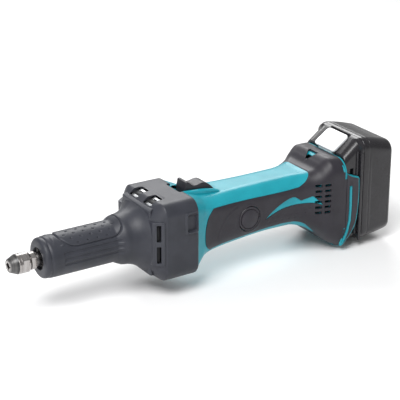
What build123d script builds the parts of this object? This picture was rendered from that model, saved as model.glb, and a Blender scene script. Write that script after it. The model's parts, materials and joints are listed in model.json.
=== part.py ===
from build123d import *
import os

# Cordless straight die grinder with a long rubber-covered neck.
# Millimetres. The origin is the centre of the collet's mouth, +X runs back
# along the spindle to the battery, +Z is up, and the switch is on top.

# ---- driving dimensions -------------------------------------------------
shank_r = 3.0              # 6 mm accessory shank
overall_length = 402.0
running_gap = 0.08         # radial clearance of a running fit
free_gap = 0.4             # between pieces that pass each other

nut_length = 18.5
nut_r = 9.4
nut_mouth_r = 6.2
nut_thread_r = 6.1

spindle_r = 6.0
spindle_collar_r = 8.2
spindle_flats = 13.0       # across the wrench flats
spindle_end = 128.0
bore_end = 46.0            # depth of the shank hole through the spindle

nose_x = 29.0              # front of the rubber boot
nose_hole_r = 10.6
neck_r = 19.4
neck_end = 100.0
boot_wall = 2.4
boot_rear = 174.0
box_half_width = 39.0      # motor end of the boot
box_half_height = 38.0

bearing_inner_r = 6.0      # spindle bearings, 12 x 28 x 8
bearing_outer_r = 14.0
bearing_width = 8.0
motor_shaft_r = 4.0        # motor bearings, 8 x 22 x 7
motor_bearing_r = 11.0
motor_bearing_width = 7.0

yoke_r = 21.5
yoke_wall = 1.8
yoke_front = 168.0
yoke_length = 60.0
armature_r = 15.2
armature_front = 175.0
armature_length = 44.0
armature_slots = 12
commutator_x = 239.0
commutator_r = 9.5
commutator_length = 13.0

shell_wall = 2.6
shell_front = 166.0
grip_depth = 1.8           # moulded-on rubber let into the shell
grip_proud = 0.5
brush_cap_x = 238.8
brush_cap_r = 12.2

knob_front = 177.7
knob_rear = 209.2
knob_half_width = 8.0
switch_travel = 8.0
channel_floor = 28.8       # channel in which the knob slides
channel_half_width = knob_half_width + 1.2
channel_front = knob_front - switch_travel - 1.0

pack_side = 37.3           # battery half width
pack_bottom = -48.0
pack_front = 346.0
pack_seam = 366.0
cell_r = 9.0
cell_length = 65.0
blade_y = 9.0

os.makedirs("parts", exist_ok=True)


def write(builder, name):
    """Label a finished piece and write it as its own file."""
    builder.part.label = name
    export_step(builder.part, "parts/" + name + ".step")


def hoop(x, half_width, top, bottom, corner, inset=0.0):
    """Rounded section across the tool, inset evenly from its outline."""
    with BuildSketch(Plane.YZ.offset(x)) as section:
        with Locations((0, (top + bottom) / 2)):
            RectangleRounded(
                2 * (half_width - inset), top - bottom - 2 * inset, max(corner - inset, 0.6)
            )
    return section.sketch


def hoops(stations, inset=0.0):
    return [hoop(*station, inset=inset) for station in stations]


def ring(x, length, inner_r, outer_r, edge=0.0):
    """Turned ring about the spindle axis."""
    with BuildPart() as turned:
        with BuildSketch(Plane.YZ.offset(x)):
            Circle(outer_r)
            Circle(inner_r, mode=Mode.SUBTRACT)
        extrude(amount=length)
        if edge:
            chamfer(turned.edges().filter_by(GeomType.CIRCLE), edge)
    return turned.part


# ---- collet, nut and spindle -------------------------------------------
collet_nose_r = 4.7
collet_shoulder_r = 5.4
collet_shoulder_x = 5.0
collet_tail_r = 4.2
collet_length = 24.0

with BuildPart() as collet:
    with BuildSketch(Plane.XZ):
        with BuildLine():
            Polyline(
                (0, shank_r),
                (0, collet_nose_r),
                (collet_shoulder_x, collet_shoulder_r),
                (collet_shoulder_x + 3.0, collet_shoulder_r),
                (collet_length, collet_tail_r),
                (collet_length, shank_r),
                close=True,
            )
        make_face()
    revolve(axis=Axis.X)
    with Locations((collet_length / 2 - 3.0, 0, 0)):
        Box(collet_length - 6.0, 0.8, 12, mode=Mode.SUBTRACT)
        Box(collet_length - 6.0, 12, 0.8, mode=Mode.SUBTRACT)
write(collet, "collet")

with BuildPart() as collet_nut:
    with BuildSketch(Plane.XZ):
        with BuildLine():
            Polyline(
                (0, collet_nose_r + 0.12),
                (0, nut_mouth_r),
                (6.6, nut_r - 0.4),
                (7.6, nut_r),
                (nut_length - 0.8, nut_r),
                (nut_length, nut_r - 0.8),
                (nut_length, nut_thread_r),
                (collet_shoulder_x + 3.2, nut_thread_r),
                (collet_shoulder_x, collet_shoulder_r + 0.12),
                close=True,
            )
        make_face()
    revolve(axis=Axis.X)
    # wrench flats on the bright band
    for side in (-1, 1):
        with Locations((14.2, side * (spindle_flats / 2 + 5.0 + 1.6), 0)):
            Box(5.4, 10.0, 24.0, mode=Mode.SUBTRACT)
write(collet_nut, "collet_nut")

seat_front = collet_shoulder_x + 3.6
with BuildPart() as spindle:
    with BuildSketch(Plane.XZ):
        with BuildLine():
            Polyline(
                (seat_front, collet_shoulder_r + 0.1),
                (seat_front, nut_thread_r - running_gap),
                (17.6, nut_thread_r - running_gap),
                (18.6, 5.3),
                (19.4, 5.3),
                (19.8, spindle_collar_r),
                (24.4, spindle_collar_r),
                (25.4, spindle_r + 0.6),
                (35.0, spindle_r + 0.6),
                (35.0, spindle_r),
                (112.4, spindle_r),
                (112.4, 5.0),
                (spindle_end, 5.0),
                (spindle_end, 0),
                (bore_end, 0),
                (bore_end - 2.0, shank_r + 0.3),
                (collet_length + 2.0, shank_r + 0.3),
                (collet_length + 2.0, collet_tail_r + 0.1),
                (collet_length, collet_tail_r + 0.1),
                close=True,
            )
        make_face()
    revolve(axis=Axis.X)
    for side in (-1, 1):
        with Locations((22.1, side * (spindle_flats / 2 + 5.0), 0)):
            Box(4.6, 10.0, 24.0, mode=Mode.SUBTRACT)
write(spindle, "spindle")

# ---- bearings -----------------------------------------------------------
front_bearing_x = 36.0
rear_bearing_x = 104.0
motor_front_bearing_x = 138.0
motor_rear_bearing_x = 250.0


def bearing(name, x, width, inner_r, outer_r, balls):
    """Deep-groove ball bearing as outer ring, inner ring and balls."""
    mid_r = (inner_r + outer_r) / 2
    ball_r = (outer_r - inner_r) * 0.29
    land = (outer_r - inner_r) * 0.27
    with BuildSketch(Plane.XZ) as groove:
        with Locations((x + width / 2, mid_r)):
            Circle(ball_r + running_gap)
    for label, low, high in (
        ("outer_ring", outer_r - land, outer_r),
        ("inner_ring", inner_r, inner_r + land),
    ):
        with BuildPart() as race:
            add(ring(x, width, low, high))
            revolve(groove.sketch, axis=Axis.X, mode=Mode.SUBTRACT)
        write(race, name + "_" + label)
    with BuildPart() as ball_set:
        with Locations(Plane.YZ.offset(x + width / 2)):
            with PolarLocations(mid_r, balls):
                Sphere(ball_r)
    write(ball_set, name + "_balls")


bearing("front_bearing", front_bearing_x, bearing_width, bearing_inner_r, bearing_outer_r, 8)
bearing("rear_bearing", rear_bearing_x, bearing_width, bearing_inner_r, bearing_outer_r, 8)
bearing("motor_bearing", motor_front_bearing_x, motor_bearing_width, motor_shaft_r, motor_bearing_r, 7)
bearing("tail_bearing", motor_rear_bearing_x, motor_bearing_width, motor_shaft_r, motor_bearing_r, 7)

# ---- armature -----------------------------------------------------------
with BuildPart() as coupling_sleeve:
    add(ring(spindle_end - 8.0, 8.0, 5.0, 8.0))
    add(ring(spindle_end, 8.0, motor_shaft_r, 8.0))
    chamfer(coupling_sleeve.edges().filter_by(GeomType.CIRCLE).sort_by(SortBy.RADIUS)[-2:], 0.8)
write(coupling_sleeve, "coupling_sleeve")

with BuildPart() as motor_shaft:
    with BuildSketch(Plane.YZ.offset(spindle_end)):
        Circle(motor_shaft_r)
    extrude(amount=motor_rear_bearing_x + motor_bearing_width + 1.0 - spindle_end)
    chamfer(motor_shaft.edges().filter_by(GeomType.CIRCLE), 0.5)
write(motor_shaft, "motor_shaft")

with BuildPart() as armature_core:
    with BuildSketch(Plane.YZ.offset(armature_front)):
        Circle(armature_r)
        Circle(motor_shaft_r, mode=Mode.SUBTRACT)
        with PolarLocations(armature_r - 3.2, armature_slots):
            SlotOverall(5.0, 2.4, mode=Mode.SUBTRACT)
        with PolarLocations(armature_r - 0.6, armature_slots):
            Rectangle(2.4, 1.0, mode=Mode.SUBTRACT)
    extrude(amount=armature_length)
write(armature_core, "armature_core")

winding_r = armature_r - 1.6
with BuildPart() as armature_windings:
    for start, length in (
        (armature_front - 6.0, 6.0),
        (armature_front + armature_length, 8.0),
    ):
        add(ring(start, length, motor_shaft_r + 1.0, winding_r))
    chamfer(
        armature_windings.edges().filter_by(GeomType.CIRCLE).group_by(SortBy.RADIUS)[-1], 2.0
    )
write(armature_windings, "armature_windings")

with BuildPart() as commutator:
    with BuildSketch(Plane.YZ.offset(commutator_x - commutator_length / 2)):
        Circle(commutator_r)
        Circle(motor_shaft_r, mode=Mode.SUBTRACT)
        with PolarLocations(commutator_r, 2 * armature_slots):
            Rectangle(1.6, 0.5, mode=Mode.SUBTRACT)
    extrude(amount=commutator_length)
write(commutator, "commutator")

fan_x = 148.0
fan_r = 27.0
fan_blades = 15
fan_depth = 8.6
fan_disc = 1.8
fan_hub_r = 8.0
blade_angle = 25
with BuildPart() as cooling_fan:
    add(ring(fan_x + fan_depth, fan_disc, motor_shaft_r, fan_r))
    add(ring(fan_x, fan_depth, motor_shaft_r, fan_hub_r))
    with BuildSketch(Plane.YZ.offset(fan_x)):
        with PolarLocations((fan_r + 12.0) / 2, fan_blades):
            with Locations(Rotation(0, 0, blade_angle)):
                Rectangle(fan_r - 14.0, 1.5)
    extrude(amount=fan_depth + 0.2)
write(cooling_fan, "cooling_fan")

# ---- motor frame --------------------------------------------------------
with BuildPart() as motor_yoke:
    add(ring(yoke_front, yoke_length, yoke_r - yoke_wall, yoke_r))
    with Locations(Plane.XZ):
        with Locations((yoke_front + 4.0, 0)):
            Cylinder(2.2, 60, mode=Mode.SUBTRACT)
write(motor_yoke, "motor_yoke")

magnet_outer_r = yoke_r - yoke_wall
magnet_inner_r = armature_r + 0.6
with BuildPart() as magnets:
    with BuildSketch(Plane.YZ.offset(yoke_front + 6.0)):
        Circle(magnet_outer_r)
        Circle(magnet_inner_r, mode=Mode.SUBTRACT)
        for turn in (0, 90):
            Rectangle(12, 60, rotation=turn - 45, mode=Mode.SUBTRACT)
    extrude(amount=yoke_length - 12.0)
write(magnets, "magnets")

with BuildPart() as baffle_plate:
    with BuildSketch(Plane.YZ.offset(162.0)):
        RectangleRounded(66, 64, 9)
        Circle(18.0, mode=Mode.SUBTRACT)
    extrude(amount=2.0)
write(baffle_plate, "baffle_plate")

# ---- bearing box and rubber boot ---------------------------------------
# x, half width, top, bottom, corner radius of the boot's outer skin
dome_stations = [
    (101.0, 19.4, 19.4, -19.4, 19.3),
    (105.0, 21.6, 21.6, -21.6, 21.5),
    (109.0, 23.4, 23.4, -23.4, 23.3),
    (115.0, 24.3, 24.3, -24.3, 24.0),
    (121.0, 26.0, 26.0, -26.0, 24.5),
    (126.0, 28.6, 28.4, -28.4, 24.0),
    (131.0, 31.6, 31.2, -31.2, 21.0),
]
box_stations = [
    (131.0, 31.6, 31.2, -31.2, 21.0),
    (139.5, 38.6, 37.6, -37.6, 14.0),
    (142.0, 39.0, 38.0, -38.0, 13.0),
]
box_rear_stations = [
    (142.0, 39.0, 38.0, -38.0, 13.0),
    (boot_rear, 39.0, 38.0, -38.0, 13.0),
]


def neck_and_box(inset, front):
    """Outer form of the neck and the motor end, inset from the boot's skin."""
    with BuildPart() as body:
        with BuildSketch(Plane.YZ.offset(front)):
            Circle(neck_r - inset)
        extrude(amount=101.0 - front)
        loft(sections=hoops(dome_stations, inset))
        loft(sections=hoops(box_stations, inset), ruled=True)
        loft(sections=hoops(box_rear_stations, inset), ruled=True)
    return body.part


box_inset = boot_wall + 0.1
box_wall = 3.2
bell_rear = 165.0
with BuildPart() as bearing_box:
    add(neck_and_box(box_inset, nose_x + 4.0))
    # hollow bell round the fan, open to the rear
    loft(
        sections=[
            hoop(147.0, 39.0, 38.0, -38.0, 13.0, box_inset + box_wall),
            hoop(boot_rear, 39.0, 38.0, -38.0, 13.0, box_inset + box_wall),
        ],
        ruled=True,
        mode=Mode.SUBTRACT,
    )
    # keep the casting clear of the shell's spigot
    with Locations(((bell_rear + boot_rear) / 2 + 1.0, 0, 0)):
        Box(boot_rear - bell_rear + 2.0, 120, 120, mode=Mode.SUBTRACT)
    # bearing seats and the passage of the spindle
    for x, length, radius in (
        (nose_x, 7.0, 12.0),
        (front_bearing_x, bearing_width, bearing_outer_r),
        (front_bearing_x + bearing_width, 60.0, 11.5),
        (rear_bearing_x, bearing_width, bearing_outer_r),
        (rear_bearing_x + bearing_width, 26.0, 10.0),
        (motor_front_bearing_x, motor_bearing_width, motor_bearing_r),
        (motor_front_bearing_x + motor_bearing_width, 4.0, 9.6),
    ):
        with BuildSketch(Plane.YZ.offset(x)):
            Circle(radius)
        extrude(amount=length, mode=Mode.SUBTRACT)

window_x = 140.0
window_length = 11.0
window_width = 14.0
window_y = 12.5
slot_z = (-8.6, 12.5)
slot_height = 16.6
slot_width = 3.6
slot_x = 133.4
frame_slope = 0.62          # the raised frames lie along the flare
recess_x = 166.7            # blind recess near the rear of each flank
recess_z = 17.4


with BuildPart() as air_cuts:
    for up in (-1, 1):
        for y in (-window_y, window_y):
            with Locations((window_x, y, up * 34.0)):
                Box(window_length, window_width, 17.0)
    for side in (-1, 1):
        for z in slot_z:
            with Locations((slot_x, side * 33.0, z)):
                Box(slot_width, 16.0, slot_height)

with BuildPart() as bearing_box_vented:
    add(bearing_box.part)
    for up in (-1, 1):
        for y in (-window_y, window_y):
            with Locations((148.0, y, up * 31.0)):
                Box(10.0, window_width - 3.0, 14.0, mode=Mode.SUBTRACT)
write(bearing_box_vented, "bearing_box")

with BuildPart() as rubber_boot:
    add(neck_and_box(0.0, nose_x))
    # rounded nose
    fillet(rubber_boot.faces().sort_by(Axis.X)[0].edges(), 3.2)
    # raised frames round the exhaust windows and side slots
    for up in (-1, 1):
        for y in (-window_y, window_y):
            tilt = up * frame_slope
            frame = Plane((window_x - 1.4, y, up * 34.6), x_dir=(1, 0, tilt), z_dir=(-tilt, 0, 1))
            with Locations(frame):
                Box(window_length + 8.0, window_width + 4.4, 4.0)
    for side in (-1, 1):
        frame = Plane((slot_x, side * 32.3, 2.6), x_dir=(1, side * 0.8, 0), z_dir=(-side * 0.8, 1, 0))
        with Locations(frame):
            Box(slot_width + 4.0, 43.0, 4.0)
        with Locations((recess_x, side * box_half_width, recess_z)):
            Box(13.4, 2.0, 19.4)
    add(neck_and_box(boot_wall, nose_x + 4.0), mode=Mode.SUBTRACT)
    with BuildSketch(Plane.YZ.offset(nose_x - 1.0)):
        Circle(nose_hole_r)
    extrude(amount=10.0, mode=Mode.SUBTRACT)
    add(air_cuts.part, mode=Mode.SUBTRACT)
    # blind recess with a raised rim on each flank
    for side in (-1, 1):
        with Locations((recess_x, side * (box_half_width + 1.0), recess_z)):
            Box(9.4, 4.4, 15.4, mode=Mode.SUBTRACT)
    # notch in the rear rim, where the switch knob slides forward
    with Locations((channel_front + 10.0, 0, channel_floor + 10.0)):
        Box(20.0, 2 * channel_half_width, 20.0, mode=Mode.SUBTRACT)
write(rubber_boot, "rubber_boot")


# ---- motor housing halves and their moulded grips -----------------------
# x, half width, top, bottom, corner radius of the handle's outer skin
shell_stations = [
    (174.2, 37.4, 36.6, -36.4, 12.0),
    (180.0, 34.2, 34.4, -32.6, 13.0),
    (188.0, 30.5, 31.6, -28.4, 14.5),
    (200.0, 28.0, 29.8, -26.3, 15.5),
    (226.0, 25.6, 29.3, -24.6, 16.0),
    (262.0, 24.1, 29.2, -22.8, 16.0),
    (292.0, 24.5, 29.2, -23.0, 16.0),
    (308.0, 28.6, 29.4, -27.0, 15.5),
    (318.0, 32.6, 31.8, -33.2, 15.0),
    (324.0, 34.4, 37.2, -38.4, 15.0),
    (331.0, 35.9, 42.2, -44.6, 15.0),
    (345.0, 37.0, 41.2, -52.8, 14.0),
]
spigot_stations = [
    (shell_front, 36.2, 35.2, -35.2, 10.4),
    (174.3, 36.2, 35.2, -35.2, 10.4),
]


def left_handle(inset):
    """Left half of the handle's outer form, inset from its skin."""
    with BuildPart() as body:
        loft(sections=hoops(shell_stations, inset))
        split(bisect_by=Plane.XZ, keep=Keep.TOP)
    return body.part


def side_prism(face):
    """Side outline carried right through the left half of the tool."""
    with BuildPart() as prism:
        extrude(face, amount=70.0)
    return prism.part


with BuildSketch(Plane.XZ) as grip_outline:
    with BuildLine():
        front = Spline((197.0, 20.4), (189.5, 11.5), (185.9, -0.9), (187.2, -13.0), (192.6, -19.9))
        under = Spline(
            front @ 1, (207.0, -18.2), (235.0, -16.9), (263.6, -15.2), (284.0, -14.8),
            (300.7, -17.8), (310.7, -25.2), (321.0, -35.5), (343.0, -58.0),
        )
        rear = Line(under @ 1, (343.0, 58.0))
        crown = Line(rear @ 1, (325.0, 58.0))
        tongue = Spline(crown @ 1, (321.0, 43.0), (315.6, 34.0), (306.0, 24.4), (297.0, 19.4))
        Spline(tongue @ 1, (270.0, 18.8), (234.0, 19.6), front @ 0)
    make_face()

with BuildSketch(Plane.XZ) as blade_outline:
    with BuildLine():
        upper = Spline((258.3, -5.6), (264.0, -0.6), (273.4, 5.2), (289.7, 11.0))
        dip = Line(upper @ 1, (298.7, 6.0))
        peak = Line(dip @ 1, (311.4, 9.2))
        tip = Line(peak @ 1, (319.7, -0.4))
        Spline(tip @ 1, (300.8, 2.9), (281.2, 2.1), upper @ 0)
    make_face()

with BuildPart() as grip_blank:
    add(left_handle(-grip_proud))
    add(side_prism(grip_outline.sketch), mode=Mode.INTERSECT)
    add(side_prism(blade_outline.sketch), mode=Mode.SUBTRACT)
    add(left_handle(grip_depth), mode=Mode.SUBTRACT)

vent_columns = (315.6, 324.6)
vent_rows = 6
vent_pitch = 5.6
vent_top_z = 19.4

with BuildPart() as side_cuts:
    for x in vent_columns:
        for row in range(vent_rows):
            with Locations((x, 0, vent_top_z - row * vent_pitch)):
                Box(6.6, 120, 2.8)
    with Locations(Plane((brush_cap_x, 0, 0.4), z_dir=(0, 1, 0))):
        Cylinder(brush_cap_r + 0.2, 120)

with BuildPart() as left_grip:
    add(grip_blank.part)
    add(side_cuts.part, mode=Mode.SUBTRACT)
write(left_grip, "left_grip")

# x, z of the screws that clamp the halves, with their heads in the right half
screw_places = [
    (179.5, -26.0), (263.0, -16.0), (300.0, 21.5),
    (300.0, -17.0), (336.0, 34.0), (336.0, -42.4),
]
screw_r = 2.0
screw_head_r = 3.6
screw_tip_y = -13.0
screw_head_y = 14.0

cheek_inner = 33.2
cheek_outer = 37.0
rear_wall = 342.4

with BuildSketch(Plane.XZ) as cheek_outline:
    with BuildLine():
        Polyline(
            (341.0, 36.0), (346.0, 35.5), (352.5, 31.0), (359.5, 22.0), (361.6, 8.0),
            (361.9, -9.5), (358.4, -25.0), (351.0, -38.5), (341.0, -48.0), close=True,
        )
    make_face()
    fillet(cheek_outline.vertices().filter_by_position(Axis.X, 345.5, 365), 3.0)

with BuildPart() as shell_ribs:
    # seats of the motor yoke and the tail bearing, as ribs across the shell
    for x, width, seat_r in (
        (184.0, 3.0, yoke_r + 0.1),
        (222.0, 3.0, yoke_r + 0.1),
        (motor_rear_bearing_x, motor_bearing_width, motor_bearing_r),
    ):
        with BuildSketch(Plane.YZ.offset(x)):
            with Locations((-30, 0)):
                Rectangle(60, 120)
            Circle(seat_r, mode=Mode.SUBTRACT)
        extrude(amount=width)
    for x, z in screw_places:
        with BuildSketch(Plane.XZ):
            with Locations((x, z)):
                Circle(screw_r + 2.4)
        extrude(amount=50)
    # passage of the switch rod
    with Locations((228.0, 0, 24.0)):
        Box(92.0, 7.4, 3.8, mode=Mode.SUBTRACT)
    add(left_handle(1.0), mode=Mode.INTERSECT)

with BuildPart() as half_blank:
    add(left_handle(0.0))
    # hollow for the motor and the electronics, closed at the rear
    with BuildPart(mode=Mode.PRIVATE) as hollow:
        add(left_handle(shell_wall))
        with Locations((rear_wall + 20.0, 0, 0)):
            Box(40.0, 200, 200, mode=Mode.SUBTRACT)
    add(hollow.part, mode=Mode.SUBTRACT)
    # spigot inside the boot
    with BuildPart(mode=Mode.PRIVATE) as spigot:
        loft(sections=hoops(spigot_stations), ruled=True)
        loft(sections=hoops(spigot_stations, 3.0), ruled=True, mode=Mode.SUBTRACT)
        split(bisect_by=Plane.XZ, keep=Keep.TOP)
    add(spigot.part)
    add(shell_ribs.part)
    # foot under the battery, and the cheek that holds it at the side
    with Locations((346.8, -11.0, -50.8)):
        foot = Box(9.6, 22, 5.2)
    fillet(foot.edges().filter_by(Axis.Y).group_by(Axis.X)[-1], 2.2)
    with BuildPart(mode=Mode.PRIVATE) as cheek:
        extrude(cheek_outline.sketch, amount=cheek_outer)
        with Locations((350.0, 0, 0)):
            Box(60.0, 2 * cheek_inner, 200, mode=Mode.SUBTRACT)
    add(cheek.part)
    # lip that runs in the battery's groove
    with Locations((354.2, -31.6, -8.0)):
        Box(3.6, 4.4, 62.0)
    # floor and wall of the switch channel
    with Locations((183.0, -(channel_half_width + 2.0) / 2, channel_floor - 1.1)):
        Box(32.0, channel_half_width + 2, 2.2)
    with Locations((176.0, -(channel_half_width + 1.0), channel_floor + 1.5)):
        Box(18.0, 2.0, 5.0)
    add(side_cuts.part, mode=Mode.SUBTRACT)
    with Locations(((channel_front + knob_rear + 2.0) / 2, 0, channel_floor + 10.0)):
        Box(knob_rear + 2.0 - channel_front, 2 * channel_half_width, 20.0, mode=Mode.SUBTRACT)
    with Locations((189.0, 0, channel_floor)):
        Box(26.0, 8.4, 16.0, mode=Mode.SUBTRACT)
    # notch for the battery's latch hook, window for the terminal block
    with Locations((343.0, 0, 35.9)):
        Box(8.0, 20.0, 6.0, mode=Mode.SUBTRACT)
    with Locations((343.0, 0, -18.0)):
        Box(8.0, 33.0, 42.0, mode=Mode.SUBTRACT)
    with Locations((344.2, -37.0, -3.5)):
        Box(2.4, 4.0, 53.0, mode=Mode.SUBTRACT)
    add(grip_blank.part, mode=Mode.SUBTRACT)

with BuildPart() as screw_holes:
    for x, z in screw_places:
        with BuildSketch(Plane.XZ.offset(-screw_tip_y)):
            with Locations((x, z)):
                Circle(screw_r + 0.1)
        extrude(amount=-60)
        with BuildSketch(Plane.XZ.offset(-screw_head_y)):
            with Locations((x, z)):
                Circle(screw_head_r + 0.4)
        extrude(amount=-40)

with BuildPart() as right_grip:
    mirror(left_grip.part, about=Plane.XZ)
    add(screw_holes.part, mode=Mode.SUBTRACT)
write(right_grip, "right_grip")

with BuildPart() as left_housing:
    add(half_blank.part)
    add(screw_holes.part, mode=Mode.SUBTRACT)
write(left_housing, "left_housing")

with BuildPart() as right_housing:
    mirror(half_blank.part, about=Plane.XZ)
    add(screw_holes.part, mode=Mode.SUBTRACT)
write(right_housing, "right_housing")

# ---- brush gear ---------------------------------------------------------
def brush_side(side):
    """Plane at the motor's brush axis, facing out to one side."""
    return Plane((brush_cap_x, 0, 0.4), x_dir=(1, 0, 0), z_dir=(0, side, 0))


cap_face_y = 26.2
cap_depth = 3.4
for side, name in ((-1, "left_brush_cap"), (1, "right_brush_cap")):
    with BuildPart() as brush_cap:
        with BuildSketch(brush_side(side).offset(cap_face_y - cap_depth)):
            Circle(brush_cap_r)
        extrude(amount=cap_depth)
        chamfer(brush_cap.faces().sort_by(Axis.Y)[-1 if side > 0 else 0].edges(), 0.6)
        # pry notch towards the rear
        with Locations((brush_cap_x + brush_cap_r + 0.4, side * cap_face_y, 2.7)):
            Box(5.0, 3.0, 4.0, mode=Mode.SUBTRACT)
    write(brush_cap, name)

brush_width = 6.0
brush_height = 9.0
with BuildPart() as carbon_brushes:
    for side in (-1, 1):
        with BuildSketch(brush_side(side).offset(commutator_r + 0.15)):
            Rectangle(brush_width, brush_height)
        extrude(amount=6.5)
write(carbon_brushes, "carbon_brushes")

with BuildPart() as brush_holders:
    for side in (-1, 1):
        with BuildSketch(brush_side(side).offset(commutator_r + 1.4)):
            Rectangle(brush_width + 3.0, brush_height + 3.0)
            Rectangle(brush_width + 0.4, brush_height + 0.4, mode=Mode.SUBTRACT)
        extrude(amount=11.0)
write(brush_holders, "brush_holders")

with BuildPart() as brush_springs:
    for side in (-1, 1):
        with BuildSketch(brush_side(side).offset(commutator_r + 6.85)):
            Circle(2.4)
            Circle(1.7, mode=Mode.SUBTRACT)
        extrude(amount=5.5)
write(brush_springs, "brush_springs")

# ---- switch -------------------------------------------------------------
pivot_x = 193.4
pivot_z = 32.4
pivot_r = 1.2
knob_base = channel_floor + 2.4
with BuildPart() as switch_knob:
    with BuildSketch(Plane.XZ):
        with BuildLine():
            front_face = Polyline((knob_front, knob_base), (knob_front, 37.0), (179.0, 43.2))
            crest = Spline(
                front_face @ 1, (180.4, 43.8), (186.4, 39.6), (192.0, 39.0), (198.4, 40.0),
                (204.5, 37.0), (knob_rear, 32.6),
            )
            Polyline(crest @ 1, (knob_rear, knob_base), (knob_front, knob_base))
        make_face()
    extrude(amount=knob_half_width, both=True)
    fillet(switch_knob.edges().filter_by_position(Axis.Z, 38.0, 44.0), 1.0)
    # hollow over the carrier's ears, and the hole for the rocker pin
    with Locations((pivot_x, 0, knob_base + 2.0)):
        Box(12.0, 9.0, 5.6, mode=Mode.SUBTRACT)
    with Locations(Plane((pivot_x, 0, pivot_z), z_dir=(0, 1, 0))):
        Cylinder(pivot_r + running_gap, 13.0, mode=Mode.SUBTRACT)
write(switch_knob, "switch_knob")

with BuildPart() as rocker_pin:
    with Locations(Plane((pivot_x, 0, pivot_z), z_dir=(0, 1, 0))):
        Cylinder(pivot_r, 12.0)
write(rocker_pin, "rocker_pin")

with BuildPart() as switch_slider:
    with Locations((pivot_x, 0, channel_floor + 0.9)):
        Box(26.0, 2 * knob_half_width - 1.0, 1.0)
    for side in (-1, 1):
        with Locations((pivot_x, side * 3.0, (channel_floor + pivot_z + 1.8) / 2)):
            Box(5.0, 2.0, pivot_z + 1.8 - channel_floor - 1.0)
    with Locations((pivot_x, 0, 26.6)):
        Box(8.0, 6.0, 6.0)
    with Locations(((pivot_x + 272.0) / 2, 0, 24.0)):
        Box(272.0 - pivot_x, 6.0, 1.8)
    with Locations(Plane((pivot_x, 0, pivot_z), z_dir=(0, 1, 0))):
        Cylinder(pivot_r, 13.0, mode=Mode.SUBTRACT)
write(switch_slider, "switch_slider")

with BuildPart() as power_switch:
    with Locations((277.0, 0, 12.0)):
        Box(26.0, 17.0, 18.0)
    fillet(power_switch.edges().filter_by(Axis.Y), 1.2)
    with Locations((269.0, 0, 21.7)):
        Box(5.0, 4.0, 1.8)
write(power_switch, "power_switch")

with BuildPart() as control_board:
    with Locations((313.0, 0, -4.0)):
        Box(24.0, 34.0, 1.6)
    for x, y, size in ((307.0, -9.0, 7.0), (307.0, 8.0, 9.0), (319.0, 0.0, 8.0)):
        with Locations((x, y, -1.2)):
            Box(size, size, 4.2)
write(control_board, "control_board")

with BuildPart() as terminal_block:
    with Locations((341.0, 0, -18.0)):
        Box(8.0, 32.4, 39.4)
    fillet(terminal_block.edges().filter_by(Axis.X), 2.0)
write(terminal_block, "terminal_block")

with BuildPart() as terminal_blades:
    for y in (-blade_y, 0.0, blade_y):
        with Locations((349.5, y, -23.0)):
            Box(9.0, 0.8, 22.0)
write(terminal_blades, "terminal_blades")

with BuildPart() as housing_screws:
    for x, z in screw_places:
        with BuildSketch(Plane.XZ.offset(-screw_tip_y - 0.5)):
            with Locations((x, z)):
                Circle(screw_r)
        extrude(amount=-(screw_head_y - screw_tip_y - 0.5))
        with BuildSketch(Plane.XZ.offset(-screw_head_y)):
            with Locations((x, z)):
                Circle(screw_head_r)
        extrude(amount=-2.6)
write(housing_screws, "housing_screws")

# ---- nose ---------------------------------------------------------------
with BuildPart() as bearing_retainer:
    add(ring(33.0, 3.0, 8.4, 11.9))
write(bearing_retainer, "bearing_retainer")

with BuildPart() as retainer_screws:
    with Locations(Plane.YZ.offset(31.6)):
        with PolarLocations(9.0, 2, start_angle=40):
            Cylinder(1.4, 1.4, align=(Align.CENTER, Align.CENTER, Align.MIN))
write(retainer_screws, "retainer_screws")

# ---- battery pack -------------------------------------------------------
# x, half width, top, bottom, corner radius
cover_stations = [
    (pack_front, 32.4, 43.4, -46.4, 9.0),
    (362.4, 32.4, 56.4, -47.2, 10.5),
    (363.6, 36.2, 57.2, -47.4, 10.5),
    (pack_seam - 0.1, 36.4, 58.0, -47.6, 10.5),
]
case_stations = [
    (pack_seam, 37.0, 58.2, pack_bottom, 10.5),
    (370.0, pack_side, 58.4, pack_bottom, 10.5),
    (384.0, pack_side, 55.4, -46.6, 10.5),
    (397.0, 37.0, 52.0, -45.0, 10.5),
    (overall_length, 34.6, 49.0, -42.6, 9.0),
]
pack_wall = 2.0
groove_x = 354.2
button_half_width = 15.6

with BuildPart() as battery_cover:
    loft(sections=hoops(cover_stations), ruled=True)
    fillet(
        battery_cover.faces().sort_by(Axis.X)[0].edges(), 1.6
    )
    for front, rear, half_width in ((358.0, 363.3, 32.4), (363.2, pack_seam, 36.4)):
        loft(
            sections=[hoop(x, half_width, 55.0, -47.2, 10.5, pack_wall + 0.2) for x in (front, rear)],
            ruled=True,
            mode=Mode.SUBTRACT,
        )
    # grooves for the housing's lips, open at the bottom
    for side in (-1, 1):
        with Locations((groove_x, side * 31.4, -10.0)):
            Box(4.4, 4.8, 80.0, mode=Mode.SUBTRACT)
    # slots for the tool's terminal blades
    for y in (-blade_y, 0.0, blade_y):
        with Locations((pack_front + 4.5, y, -30.0)):
            Box(9.8, 1.8, 37.0, mode=Mode.SUBTRACT)
        with Locations((groove_x + 3.2, y, -24.0)):
            Box(3.8, 5.4, 17.0, mode=Mode.SUBTRACT)
    # pocket of the release button, deep enough for its stroke
    with BuildSketch(Plane.XZ) as pocket:
        with BuildLine():
            Polyline(
                (pack_front - 1.0, 31.0), (pack_front + 9.0, 31.0), (pack_front + 9.0, 41.4),
                (pack_seam - 0.4, 52.4), (pack_seam - 0.4, 60.0), (pack_front - 1.0, 46.4), close=True,
            )
        make_face()
    extrude(amount=button_half_width + 0.5, both=True, mode=Mode.SUBTRACT)
write(battery_cover, "battery_cover")

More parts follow.
